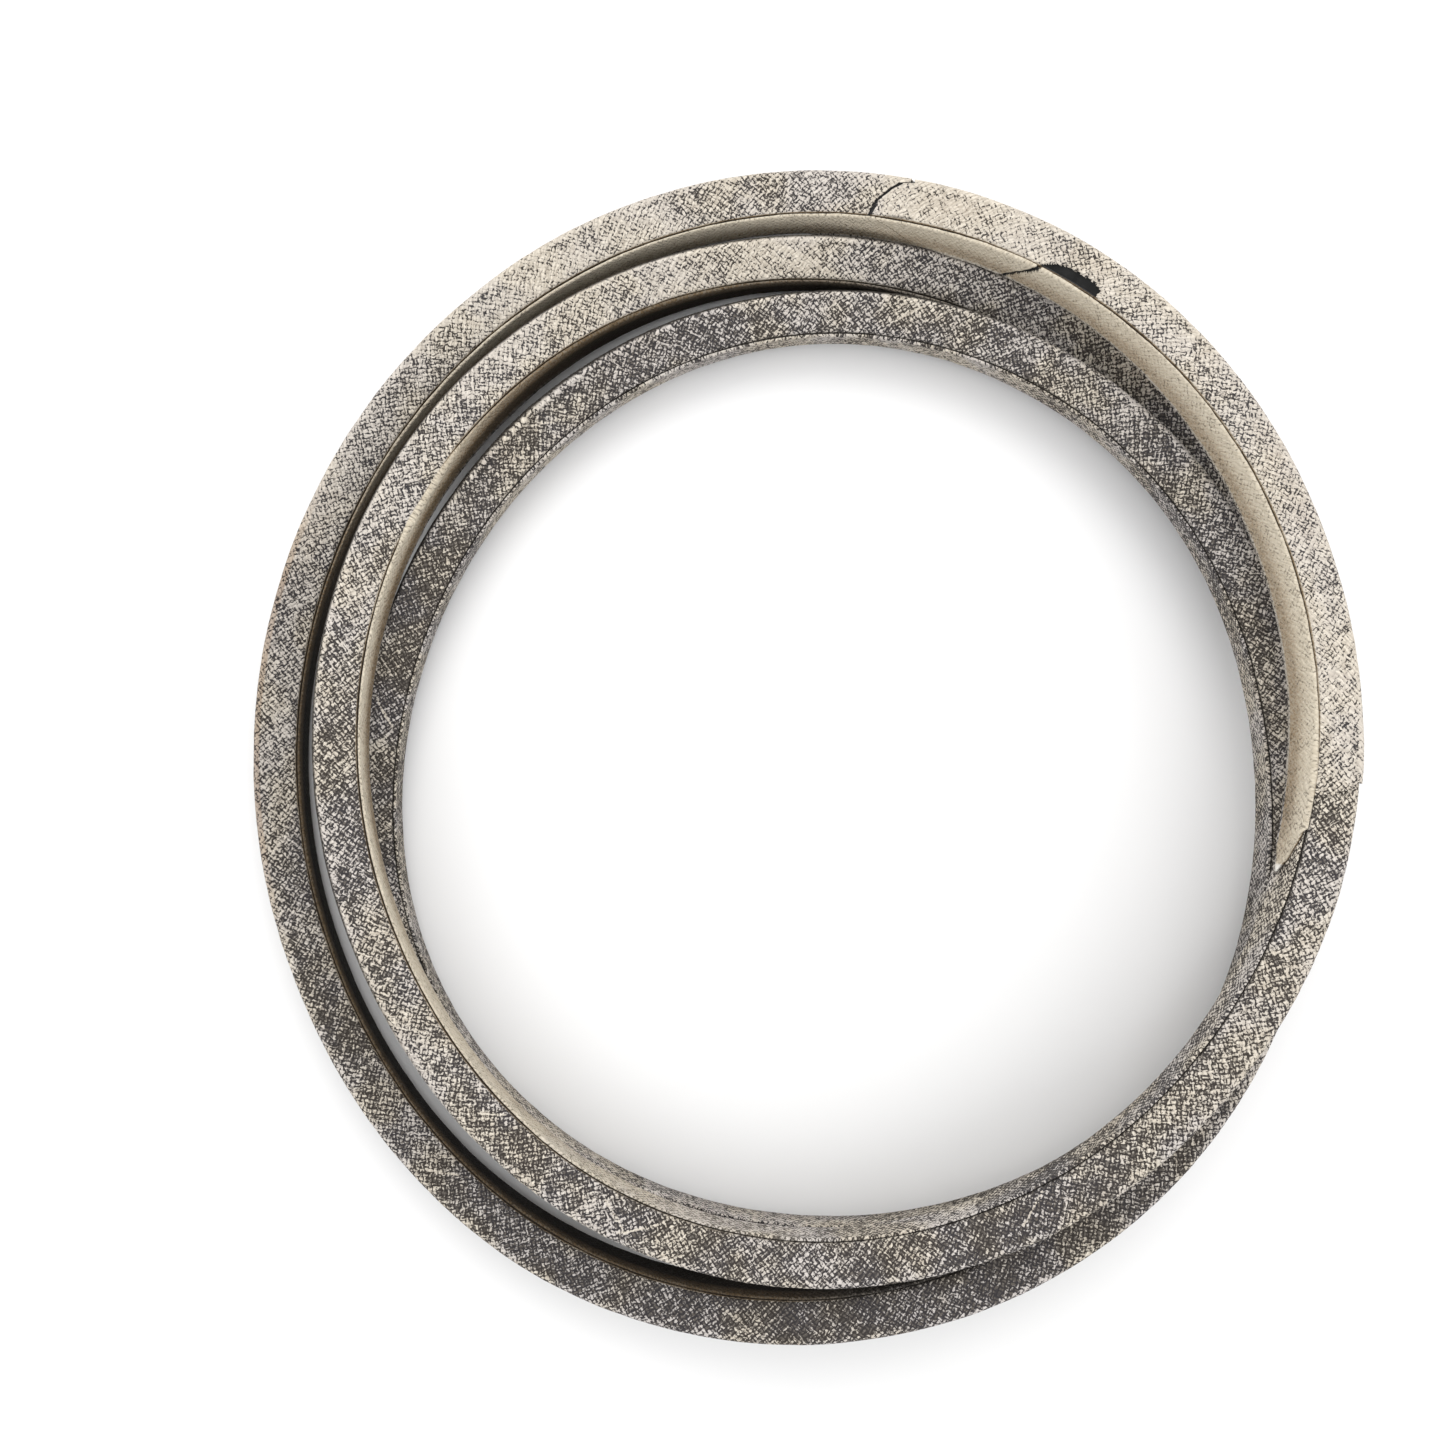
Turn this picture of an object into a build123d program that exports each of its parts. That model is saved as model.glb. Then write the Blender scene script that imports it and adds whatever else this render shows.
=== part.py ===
from build123d import *
import math
import os

os.makedirs("parts", exist_ok=True)

# Endless wrapped V-belt, classical A section, lying coiled in three turns.
# Millimetres, +Z up, the coil rests on Z = 0 and its centre line is the Z axis.

# belt section
BACK_WIDTH = 12.7            # wide outer face
THICKNESS = 8.0              # outer face to narrow inner face
FLANK = math.radians(20)     # half of the 40 degree included angle
PLY = 0.5                    # one layer of cover fabric
CORNER = 0.9                 # outside corner radius of the wrapped belt
LAP_GAP = 0.12               # gap at the lengthwise edge of a cover ply

# rubber layers inside both cover plies, as first and last depth below the outer face
LAYER_GAP = 0.05
CUSHION = (1.0 + LAYER_GAP, 1.7)
UPPER_GUM = (1.7 + LAYER_GAP, 2.25)
LOWER_GUM = (3.25, 3.8 - LAYER_GAP)
BASE = (3.8, 7.0 - LAYER_GAP)

# tension cord, wound round and round in one flat band between the gum layers
CORD_DEPTH = 2.75
CORD_RADIUS = 0.45
CORD_SIDES = 8
CORD_PITCH = 1.05
CORD_PASSES = 7

# coil route: three turns seen clockwise from above, one station each 30 degrees,
# as radius of the section centre, its height and the inward lean in degrees
TURN = 360
STEP = 30
COIL = 3 * TURN
ROUTE = [
    # first turn, outside to middle, climbing over the other two on its way
    (106.1, 9.9, 12), (100.8, 19.4, 17), (94.6, 24.4, 27), (88.6, 31.8, 19),
    (86.9, 33.2, 2), (89.1, 27.5, 0), (92.0, 20.4, 0), (90.4, 19.5, 0),
    (87.4, 19.4, 0), (87.4, 19.1, 3), (90.2, 14.8, 11), (94.2, 8.6, 7),
    # second turn, middle to inside, flat on the ground
    (95.7, 6.5, 0), (94.9, 6.5, 0), (96.1, 6.5, 0), (97.8, 6.5, 0),
    (98.2, 6.5, 0), (97.4, 6.5, 0), (94.8, 6.5, 0), (92.8, 6.5, 0),
    (89.0, 6.5, 0), (83.6, 6.5, 0), (80.8, 6.5, 0), (82.0, 6.5, 0),
    # third turn, inside to outside, over the second and under the first
    (85.1, 6.6, 0), (86.6, 8.8, 0), (87.2, 12.4, 0), (88.0, 16.6, 2),
    (92.6, 19.8, 8), (98.0, 20.4, 10), (104.2, 14.8, 9), (107.4, 7.9, 3),
    (104.3, 6.5, 0), (102.7, 6.5, 0), (103.4, 6.6, 2), (105.4, 7.3, 8),
]

# moves the middle of the coil's lowest plane to the origin
ORIGIN_SHIFT = Vector(2.44, -0.87, -0.445)

# coil angles at which the rubber layers and the cord are spliced
CORD_START = 640
CUSHION_SPLICE = 200
UPPER_GUM_SPLICE = 480
LOWER_GUM_SPLICE = 760
BASE_SPLICE = 300
BUTT_GAP = 0.06              # degrees left open at a butt splice
SECTION_STEP = 10

# outer cover lengths: name, first splice, last splice
OUTER_COVER = [
    ("cover_first", 8, 98), ("cover_second", 98, 430), ("cover_third", 430, 590),
    ("cover_fourth", 590, 818), ("cover_fifth", 818, 1088),
]
INNER_COVER = [
    ("lining_first", 50, 330), ("lining_second", 330, 620),
    ("lining_third", 620, 850), ("lining_fourth", 850, 1130),
]
# bias of a splice: advance along the belt per millimetre outward and per millimetre up
BIAS = {8: (0.8, -0.7), 98: (-1.6, 0.6)}
PLAIN_BIAS = (0.8, 0.8)
SPLICE_GAP = 0.1
COVER_REACH = 9              # degrees that a ply runs past its splices before it is trimmed
CUTTER = 40.0                # block that trims it
SLOPE_SWEEPS = 40            # enough for the route's slopes to settle


def relaxed_slopes(values):
    """Slopes of the smooth closed curve through evenly spaced values."""
    count = len(values)
    slopes = [0.0] * count
    for _ in range(SLOPE_SWEEPS):
        for i in range(count):
            ahead = (i + 1) % count
            pull = 3 * (values[ahead] - values[i - 1])
            slopes[i] = (pull - slopes[i - 1] - slopes[ahead]) / 4
    return slopes


COLUMNS = [[station[k] for station in ROUTE] for k in range(3)]
SLOPES = [relaxed_slopes(column) for column in COLUMNS]


def station(angle):
    """Radius, height and lean at a coil angle, by smooth interpolation."""
    place = (angle % COIL) / STEP
    i = int(place) % len(ROUTE)
    j = (i + 1) % len(ROUTE)
    t = place - int(place)
    found = []
    for values, slopes in zip(COLUMNS, SLOPES):
        start = values[i] * (1 + 2 * t) * (1 - t) ** 2 + slopes[i] * t * (1 - t) ** 2
        end = values[j] * t * t * (3 - 2 * t) + slopes[j] * t * t * (t - 1)
        found.append(start + end)
    return found


def centre(angle):
    """Middle of the belt section at a coil angle."""
    radius, height, _ = station(angle)
    turn = math.radians(angle)
    return Vector(radius * math.sin(turn), radius * math.cos(turn), height) + ORIGIN_SHIFT


def section_plane(angle):
    """Plane across the belt: local X outward, local Y up, leaning with the belt."""
    along = (centre(angle + 0.5) - centre(angle - 0.5)).normalized()
    outward = Vector(0, 0, 1).cross(along).normalized()
    up = along.cross(outward)
    lean = math.radians(station(angle)[2])
    x_dir = outward * math.cos(lean) - up * math.sin(lean)
    return Plane(origin=centre(angle), x_dir=x_dir, z_dir=along)


def half_width(depth, inset=0.0):
    """Half width of the section at a depth, with the flanks moved in by inset."""
    return BACK_WIDTH / 2 - depth * math.tan(FLANK) - inset / math.cos(FLANK)


def trapezoid(inset, top=None, bottom=None):
    """Four corners from the upper narrow corner round to the lower narrow corner."""
    top = inset if top is None else top
    bottom = THICKNESS - inset if bottom is None else bottom
    x_back = THICKNESS / 2 - top
    x_base = THICKNESS / 2 - bottom
    back = half_width(top, inset)
    base = half_width(bottom, inset)
    return [(x_base, base), (x_back, back), (x_back, -back), (x_base, -base)]


def corner_arc(before, corner, after, radius):
    """Tangent point, middle point and tangent point of a rounded corner."""
    a = (Vector(*before) - Vector(*corner)).normalized()
    b = (Vector(*after) - Vector(*corner)).normalized()
    half = math.acos(a.dot(b)) / 2
    reach = radius / math.tan(half)
    inward = (a + b).normalized()
    middle = Vector(*corner) + inward * (radius / math.sin(half) - radius)
    return Vector(*corner) + a * reach, middle, Vector(*corner) + b * reach


def wrap_line(inset, radius, low, high):
    """Open line once round the belt from the slit back to the slit."""
    corners = trapezoid(inset)
    x_base = corners[0][0]
    line = [("point", Vector(x_base, high))]
    for i, corner in enumerate(corners):
        before = corners[i - 1]
        after = corners[(i + 1) % 4]
        if radius > 0:
            line.append(("arc", corner_arc(before, corner, after, radius)))
        else:
            line.append(("point", Vector(*corner)))
    line.append(("point", Vector(x_base, low)))
    return line


def trace(line, plane):
    """Edges along a line of points and arcs, placed on a section plane."""
    edges = []
    last = None
    for kind, item in line:
        first = item if kind == "point" else item[0]
        if last is not None:
            edges.append(Edge.make_line(plane.from_local_coords(last), plane.from_local_coords(first)))
        if kind == "arc":
            edges.append(Edge.make_three_point_arc(*[plane.from_local_coords(p) for p in item]))
            first = item[2]
        last = first
    return edges


def backward(line):
    turned = []
    for kind, item in reversed(line):
        turned.append((kind, item if kind == "point" else tuple(reversed(item))))
    return turned


def ply_outline(outer_inset, outer_radius):
    """Closed outline of one cover ply, wrapped round and slit beside the upper edge."""
    inner_radius = max(outer_radius - PLY, 0.0)
    high = half_width(THICKNESS) - CORNER
    low = high - LAP_GAP
    outside = wrap_line(outer_inset, outer_radius, low, high)
    inside = wrap_line(outer_inset + PLY, inner_radius, low, high)
    return outside + backward(inside) + outside[:1]


def layer_outline(top, bottom):
    """Plain rubber layer between two depths, inside both cover plies."""
    corners = [Vector(*c) for c in trapezoid(2 * PLY + LAYER_GAP, top, bottom)]
    return [("point", c) for c in corners + corners[:1]]


def sweep_outline(outline, first, last):
    """Solid through the outlines at even steps of coil angle; outline takes the share of the way."""
    steps = max(2, round((last - first) / SECTION_STEP))
    wires = []
    for k in range(steps + 1):
        share = k / steps
        angle = first + (last - first) * share
        wires.append(Wire(trace(outline(share), section_plane(angle))))
    return Solid.make_loft(wires)


def splice_cutter(angle, side):
    """Block that trims a ply to a bias splice; side +1 removes what lies ahead."""
    outward, upward = BIAS.get(angle % COIL, PLAIN_BIAS)
    plane = section_plane(angle)
    normal = plane.z_dir - plane.x_dir * outward - plane.y_dir * upward
    face = Plane(origin=plane.origin, x_dir=plane.x_dir.cross(normal), z_dir=normal * side)
    block = Box(CUTTER, CUTTER, CUTTER / 2, align=(Align.CENTER, Align.CENTER, Align.MIN))
    return face * Pos(0, 0, -SPLICE_GAP / 2) * block


def cover_length(first, last, inset, radius):
    """One length of cover ply between two bias splices."""
    outline = ply_outline(inset, radius)
    ply = sweep_outline(lambda share: outline, first - COVER_REACH, last + COVER_REACH)
    return ply - splice_cutter(first, -1) - splice_cutter(last, 1)


def rubber_layer(depths, splice):
    """One rubber layer right round the belt, from its butt splice back to it."""
    outline = layer_outline(*depths)
    return sweep_outline(lambda share: outline, splice, splice + COIL - BUTT_GAP)


def cord_outline(number, share):
    """Section of one cord pass, which shifts by one pitch over the whole loop."""
    x_cord = THICKNESS / 2 - CORD_DEPTH
    side = CORD_PITCH * (number + share - CORD_PASSES / 2)
    points = []
    for k in range(CORD_SIDES + 1):
        turn = math.pi * (2 * k + 1) / CORD_SIDES
        spot = Vector(x_cord + CORD_RADIUS * math.cos(turn), side + CORD_RADIUS * math.sin(turn))
        points.append(("point", spot))
    return points


def tension_cord():
    """One cord wound endlessly, as passes that each run on into the next."""
    last = CORD_START + COIL - BUTT_GAP
    passes = []
    for number in range(CORD_PASSES):
        outline = lambda share, n=number: cord_outline(n, share)
        passes.append(sweep_outline(outline, CORD_START, last))
    return Compound(passes)


def belt_length():
    points = [centre(a) for a in range(0, COIL + 1)]
    return sum((b - a).length for a, b in zip(points, points[1:]))


def write(name, shape):
    export_step(shape, "parts/" + name + ".step")
    print(name, "valid", shape.is_valid, "volume", round(shape.volume, 1))


write("cushion_rubber", rubber_layer(CUSHION, CUSHION_SPLICE))
write("upper_gum", rubber_layer(UPPER_GUM, UPPER_GUM_SPLICE))
write("tension_cord", tension_cord())
write("lower_gum", rubber_layer(LOWER_GUM, LOWER_GUM_SPLICE))
write("base_rubber", rubber_layer(BASE, BASE_SPLICE))

for name, first, last in INNER_COVER:
    write(name, cover_length(first, last, PLY, CORNER - PLY))
for name, first, last in OUTER_COVER:
    write(name, cover_length(first, last, 0.0, CORNER))

print("belt length along the section centre", round(belt_length(), 1))
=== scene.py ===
import math
import bpy
import numpy as np
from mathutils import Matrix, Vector


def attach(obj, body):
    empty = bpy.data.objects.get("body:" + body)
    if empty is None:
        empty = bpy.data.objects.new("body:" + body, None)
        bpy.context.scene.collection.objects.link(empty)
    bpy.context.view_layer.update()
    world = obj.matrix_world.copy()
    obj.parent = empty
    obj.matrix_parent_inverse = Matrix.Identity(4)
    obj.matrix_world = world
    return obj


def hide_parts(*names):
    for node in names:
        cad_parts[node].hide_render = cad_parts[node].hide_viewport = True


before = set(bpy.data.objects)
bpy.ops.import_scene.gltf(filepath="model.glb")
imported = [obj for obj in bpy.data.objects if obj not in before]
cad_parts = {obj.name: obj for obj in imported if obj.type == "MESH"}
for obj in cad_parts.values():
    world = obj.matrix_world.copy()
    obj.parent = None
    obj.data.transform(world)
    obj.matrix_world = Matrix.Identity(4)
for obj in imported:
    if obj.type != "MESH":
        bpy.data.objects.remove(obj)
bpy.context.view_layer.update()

# Wrapped V-belt lying in three turns. Shape numbers are in millimetres and degrees of coil angle
# (clockwise from +Y, 0 to 1080), and are scaled to metres where a mesh is made.
MM = 0.001
STEP = 30.0                  # coil angle between stations of the route
COIL = 1080.0
# radius, height and lean of the belt at each station
ROUTE = np.array([
    (106.1, 9.9, 12), (100.8, 19.4, 17), (94.6, 24.4, 27), (88.6, 31.8, 19),
    (86.9, 33.2, 2), (89.1, 27.5, 0), (92.0, 20.4, 0), (90.4, 19.5, 0),
    (87.4, 19.4, 0), (87.4, 19.1, 3), (90.2, 14.8, 11), (94.2, 8.6, 7),
    (95.7, 6.5, 0), (94.9, 6.5, 0), (96.1, 6.5, 0), (97.8, 6.5, 0),
    (98.2, 6.5, 0), (97.4, 6.5, 0), (94.8, 6.5, 0), (92.8, 6.5, 0),
    (89.0, 6.5, 0), (83.6, 6.5, 0), (80.8, 6.5, 0), (82.0, 6.5, 0),
    (85.1, 6.6, 0), (86.6, 8.8, 0), (87.2, 12.4, 0), (88.0, 16.6, 2),
    (92.6, 19.8, 8), (98.0, 20.4, 10), (104.2, 14.8, 9), (107.4, 7.9, 3),
    (104.3, 6.5, 0), (102.7, 6.5, 0), (103.4, 6.6, 2), (105.4, 7.3, 8),
], float)
SHIFT = np.array((2.44, -0.87, -0.445))      # middle of the lowest plane to the origin
SLOPE_SWEEPS = 40            # enough for the route's slopes to settle
BACK_WIDTH = 12.7
THICKNESS = 8.0
FLANK = math.radians(20)
X_BACK = THICKNESS / 2
X_BASE = -THICKNESS / 2
Y_BACK = BACK_WIDTH / 2
Y_BASE = BACK_WIDTH / 2 - THICKNESS * math.tan(FLANK)
THREAD = 0.84                # spacing of the cover's threads
TEAR_DEPTH = 0.42            # torn slot beside the edge
CRACK_DEPTH = 0.34
SINK = 0.45                  # depth of a ply's cut end
PROUD_FLANK = 0.16           # how far the second lap stands over the next length
PROUD_ELSEWHERE = 0.34


# ---------------------------------------------------------------- route
def relaxed_slopes(values):
    """Slopes of the smooth closed curve through evenly spaced stations."""
    slopes = np.zeros_like(values)
    count = len(values)
    for _ in range(SLOPE_SWEEPS):
        for i in range(count):
            ahead = (i + 1) % count
            slopes[i] = (3 * (values[ahead] - values[i - 1]) - slopes[i - 1] - slopes[ahead]) / 4
    return slopes


SLOPES = relaxed_slopes(ROUTE)


def station(angle):
    """Radius, height and lean at a coil angle."""
    place = np.mod(angle, COIL) / STEP
    i = np.floor(place).astype(int) % len(ROUTE)
    j = (i + 1) % len(ROUTE)
    t = (place - np.floor(place))[..., None]
    a = ROUTE[i] * (1 + 2 * t) * (1 - t) ** 2 + SLOPES[i] * t * (1 - t) ** 2
    b = ROUTE[j] * t * t * (3 - 2 * t) + SLOPES[j] * t * t * (t - 1)
    return a + b


def centre(angle):
    """Middle of the belt section at a coil angle."""
    s = station(angle)
    turn = np.radians(angle)
    flat = np.stack([s[..., 0] * np.sin(turn), s[..., 0] * np.cos(turn), s[..., 1]], -1)
    return flat + SHIFT


def unit(v):
    return v / np.linalg.norm(v, axis=-1, keepdims=True)


def belt_axes(angle):
    """Centre, along, outward and up at each coil angle, leaning with the belt."""
    along = unit(centre(angle + 0.5) - centre(angle - 0.5))
    outward = unit(np.cross(np.array([0.0, 0.0, 1.0]), along))
    up = np.cross(along, outward)
    lean = np.radians(station(angle)[..., 2])[..., None]
    x = outward * np.cos(lean) - up * np.sin(lean)
    y = up * np.cos(lean) + outward * np.sin(lean)
    return centre(angle), along, x, y


FINE = np.arange(-60, COIL + 60, 0.25)
FINE_POINTS = centre(FINE)
FINE_LENGTH = np.concatenate([[0], np.cumsum(np.linalg.norm(np.diff(FINE_POINTS, axis=0), axis=1))])


def along_length(angle):
    return np.interp(angle, FINE, FINE_LENGTH)


# ---------------------------------------------------------------- noise
def lattice(i, j, seed):
    value = np.sin(i * 12.9898 + j * 78.233 + seed * 37.719) * 43758.5453
    return value - np.floor(value)


def noise(u, v, seed):
    """Smooth lattice noise from -1 to 1."""
    i, j = np.floor(u), np.floor(v)
    fu, fv = u - i, v - j
    fu, fv = fu * fu * (3 - 2 * fu), fv * fv * (3 - 2 * fv)
    top = lattice(i, j, seed) * (1 - fu) + lattice(i + 1, j, seed) * fu
    low = lattice(i, j + 1, seed) * (1 - fu) + lattice(i + 1, j + 1, seed) * fu
    return (top * (1 - fv) + low * fv) * 2 - 1


def ease(x, low, high):
    t = np.clip((x - low) / (high - low), 0, 1)
    return t * t * (3 - 2 * t)


def bump_at(x, middle, half):
    return np.clip(1 - np.abs(x - middle) / half, 0, 1)


# ---------------------------------------------------------------- belt outline
def outline():
    """One turn of the wrap round the section: points, and the face each belongs to.

    It starts in the bottom of the slit beside the lengthwise edge, runs over the upper flank, the back,
    the lower flank and the narrow face, and ends at that edge, which stands a little proud.
    """
    points, labels = [], []

    def add(x, y, label):
        points.append((x, y))
        labels.append(label)

    def run(a, b, count, label):
        for k in range(count):
            t = k / count
            add(a[0] + (b[0] - a[0]) * t, a[1] + (b[1] - a[1]) * t, label)

    def roll(before, corner, after, radius, count, label):
        before, corner, after = (np.array(p, float) for p in (before, corner, after))
        a, b = unit(before - corner), unit(after - corner)
        half = math.acos(float(a @ b)) / 2
        hub = corner + unit(a + b) * radius / math.sin(half)
        first, last = corner + a * radius / math.tan(half), corner + b * radius / math.tan(half)
        for k in range(count + 1):
            t = k / count
            spoke = unit((first - hub) * (1 - t) + (last - hub) * t)
            add(*(hub + spoke * radius), label)
        return first, last

    top_narrow = (X_BASE, Y_BASE)
    top_back = (X_BACK, Y_BACK)
    low_back = (X_BACK, -Y_BACK)
    low_narrow = (X_BASE, -Y_BASE)
    rise = math.tan(FLANK)

    add(-3.62, 2.86, "groove")
    add(-3.60, 3.08, "groove")
    add(-3.60, 3.28, "rim")
    add(-3.53, 3.44, "rim")
    add(-3.42, 3.56, "rim")
    add(-3.24, 3.438 + 0.76 * rise, "upper")
    for x in np.arange(-3.0, -0.9, 0.2):
        add(x, Y_BASE + (x - X_BASE) * rise, "upper")
    for x in np.arange(-0.6, 2.6, 0.34):
        add(x, Y_BASE + (x - X_BASE) * rise, "upper")
    first, last = roll(top_narrow, top_back, low_back, 0.9, 6, "shoulder")
    stop = (X_BACK, -Y_BACK + 1.3)
    run((last[0], last[1] - 0.3), stop, 20, "back")
    first, last = roll(top_back, low_back, low_narrow, 0.9, 5, "low_shoulder")
    start = (last[0] - 0.3, last[1] + 0.3 * rise)
    stop = (-3.2, -(Y_BASE + 0.8 * rise))
    run(start, stop, 14, "lower")
    first, last = roll(low_back, low_narrow, top_narrow, 0.7, 4, "low_rim")
    run((-4.06, last[1] + 0.25), (-4.12, 2.86), 22, "narrow")
    add(-4.13, 2.97, "edge")
    add(-4.09, 3.09, "edge")
    add(-3.99, 3.17, "edge")
    add(-3.87, 3.17, "edge")
    add(-3.77, 3.08, "groove")
    add(-3.70, 2.94, "groove")
    return np.array(points), np.array(labels)


RING, LABEL = outline()
RING_NEXT = np.roll(RING, -1, 0)
GIRTH = np.concatenate([[0], np.cumsum(np.linalg.norm(RING_NEXT - RING, axis=1))])
TANGENT = unit(np.roll(RING, -1, 0) - np.roll(RING, 1, 0))
NORMAL = np.stack([-TANGENT[:, 1], TANGENT[:, 0]], 1)
UPPER = np.isin(LABEL, ["upper", "rim"])
TOP_SIDE = np.isin(LABEL, ["upper", "rim", "groove"])
BACK_SIDE = np.isin(LABEL, ["shoulder", "back"])
LOW_SIDE = np.isin(LABEL, ["low_shoulder", "lower"])
STRIP = np.isin(LABEL, ["narrow", "edge", "low_rim"])
EDGE_SIDES = np.isin(LABEL, ["edge", "groove", "rim"])
GROOVE = LABEL == "groove"
RX, RY = RING[:, 0], RING[:, 1]
# faces that take the painted shade of SHADED: the back, the lower shoulder and the part of the shoulder
# that turns onto the back
HIDDEN_SIDE = np.isin(LABEL, ["back", "low_shoulder"]) | ((LABEL == "shoulder") & (RY < Y_BACK - 0.5))


# ---------------------------------------------------------------- cover joints, along the girth
def girth_noise(size, scale, seed):
    """Jagged offset that changes round the girth."""
    return size * noise(GIRTH[:-1] / scale, GIRTH[:-1] * 0, seed)


def first_lap():
    """Coil angle of the first bias joint at each outline point."""
    angle = np.full(len(RING), 8.5)
    t = np.clip((RX - X_BASE) / THICKNESS, 0, 1)
    angle[TOP_SIDE] = (6.4 + 3.7 * t ** 1.6)[TOP_SIDE]
    angle[BACK_SIDE] = (10.1 + 5.0 * np.clip((Y_BACK - RY) / BACK_WIDTH, 0, 1) ** 1.5)[BACK_SIDE]
    angle[LOW_SIDE] = (15.1 - 3.5 * (1 - t))[LOW_SIDE]
    angle[STRIP] = (11.6 - 4.6 * (RY + Y_BASE) / (2 * Y_BASE))[STRIP]
    return angle + girth_noise(0.16, 0.8, 3) + girth_noise(0.1, 0.3, 4)


def second_lap():
    """Coil angle where the second length's end lies torn on the next one."""
    angle = np.full(len(RING), 94.0)
    t = np.clip((RX - X_BASE) / THICKNESS, 0, 1)
    angle[TOP_SIDE] = (94.8 - 2.0 * t)[TOP_SIDE]
    angle[BACK_SIDE] = (92.8 - 4.0 * (Y_BACK - RY) / BACK_WIDTH)[BACK_SIDE]
    angle[LOW_SIDE] = (88.8 + 10.0 * (1 - t))[LOW_SIDE]
    point_rise = [-3.6, -2.4, -0.9, 0.6, 1.8, 3.2]
    point_end = [99.0, 101.6, 104.0, 102.6, 100.8, 98.4]
    angle[STRIP] = np.interp(RY, point_rise, point_end)[STRIP]
    return angle + girth_noise(0.25, 1.1, 5) + girth_noise(0.14, 0.35, 6)


FIRST_LAP = first_lap()
SECOND_LAP = second_lap()

# short marks on the upper flank: angle and outward place of both ends, width, depth, darkness
MARKS = [
    (140.2, -0.2, 142.8, -1.9, 0.34, 0.16, 0.9), (141.2, -0.9, 143.9, -2.5, 0.28, 0.12, 0.7),
    (771.0, 0.4, 774.6, -2.6, 0.42, 0.22, 0.9), (772.6, 1.8, 771.4, 0.4, 0.30, 0.12, 0.6),
    (790.0, 1.6, 794.6, -2.4, 0.42, 0.22, 0.9), (793.0, 1.4, 796.2, -1.0, 0.30, 0.14, 0.7),
    (802.0, -3.0, 806.5, -3.4, 0.30, 0.15, 0.7), (8.0, -3.5, 11.0, -3.3, 0.26, 0.12, 0.7),
    (560.0, 0.5, 562.0, -1.5, 0.3, 0.1, 0.5), (311.0, 1.5, 309.6, -0.8, 0.3, 0.12, 0.6),
    (1001.0, 2.8, 1003.0, 1.0, 0.35, 0.1, 0.5), (700.0, 1.0, 701.4, -1.6, 0.3, 0.12, 0.6),
]
# paler loose threads on the upper flank: same ends, width, height
THREADS = [
    (198.0, -2.2, 202.6, 2.2, 0.26, 0.06), (201.0, 2.6, 205.4, -1.6, 0.22, 0.05),
    (352.6, 2.6, 359.6, -2.6, 0.46, 0.07), (355.5, 2.4, 363.6, -3.4, 0.52, 0.08),
    (585.0, 2.4, 590.0, -1.0, 0.26, 0.06), (629.0, 3.0, 633.0, -2.0, 0.30, 0.07),
    (634.0, -2.6, 638.0, 1.8, 0.26, 0.06), (680.0, 1.4, 685.0, -2.2, 0.24, 0.05),
    (731.0, -1.0, 734.5, 2.6, 0.24, 0.05), (905.0, 2.4, 909.5, -2.4, 0.26, 0.06),
    (221.0, -2.8, 223.6, 0.2, 0.30, 0.07), (940.0, -2.0, 943.6, 2.2, 0.24, 0.05),
    (1071.0, 2.8, 1074.0, -0.4, 0.24, 0.05), (152.0, -3.0, 156.0, 0.6, 0.22, 0.05),
]
# share of dark rubber showing between the threads, by coil angle
SPECK = [
    (8, 0.04), (18, 0.08), (27, 0.24), (42, 0.20), (54, 0.30), (66, 0.36), (78, 0.28), (91, 0.18),
    (97, 0.55), (110, 0.60), (125, 0.48), (140, 0.55), (157, 0.72), (180, 0.68), (200, 0.62), (220, 0.60),
    (234, 0.46), (250, 0.56), (268, 0.58), (290, 0.52), (310, 0.44), (330, 0.28), (344, 0.20), (358, 0.26),
    (363, 0.46), (384, 0.55), (400, 0.62), (560, 0.55), (605, 0.62), (630, 0.76), (645, 0.80), (660, 0.70),
    (678, 0.54), (692, 0.62), (716, 0.68), (736, 0.64), (760, 0.60), (790, 0.74), (810, 0.60), (850, 0.62),
    (872, 0.80), (895, 0.86), (915, 0.76), (930, 0.72), (946, 0.62), (962, 0.66), (978, 0.56), (995, 0.46),
    (1010, 0.36), (1030, 0.36), (1050, 0.24), (1064, 0.24), (1078, 0.36), (1087, 0.38),
]
# painted shade on the lower part of the narrow face, where it looks into the gap between turns, by coil
# angle
NARROW_SHADE = [
    (0, 0.30), (60, 0.34), (96, 0.40), (104, 0.05), (240, 0.10), (262, 0.50), (300, 0.70), (318, 0.86),
    (334, 0.97), (370, 0.92), (420, 0.6), (600, 0.2), (640, 0.0), (800, 0.0), (850, 0.6), (885, 1.0),
    (1000, 1.0), (1030, 0.75), (1046, 0.4), (1062, 0.25), (1080, 0.30),
]
# painted shade over the back where it lies against another turn, by coil angle
SHADED = [
    (0, 0.0), (225, 0.0), (250, 0.9), (364, 0.9), (384, 0.6), (410, 0.0), (600, 0.0), (640, 0.96),
    (735, 0.96), (760, 0.0), (1080, 0.0),
]
# where one turn presses on the next: middle and half width in coil angle, faces, height of the bulge
PRESSED = [
    (12.0, 16.0, ["low_rim"], 0.45), (372.0, 18.0, ["shoulder"], 0.45),
    (680.0, 34.0, ["shoulder", "back"], 0.65), (320.0, 30.0, ["low_rim"], 0.5),
]
# how smooth and pale the doubled cloth on the narrow face is, by coil angle
SMOOTH = [
    (0, 1.0), (90, 1.0), (104.5, 0.95), (107, 0.4), (145, 0.35), (152, 0.55), (200, 0.75), (240, 0.95),
    (330, 0.95), (380, 0.7), (480, 0.3), (600, 0.3), (640, 0.5), (690, 0.5), (800, 0.45), (880, 0.4),
    (905, 0.9), (1060, 0.95), (1080, 1.0),
]


def by_angle(stops, angle):
    stops = np.array(stops, float)
    return np.interp(np.mod(angle, COIL), stops[:, 0], stops[:, 1], period=COIL)


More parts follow.
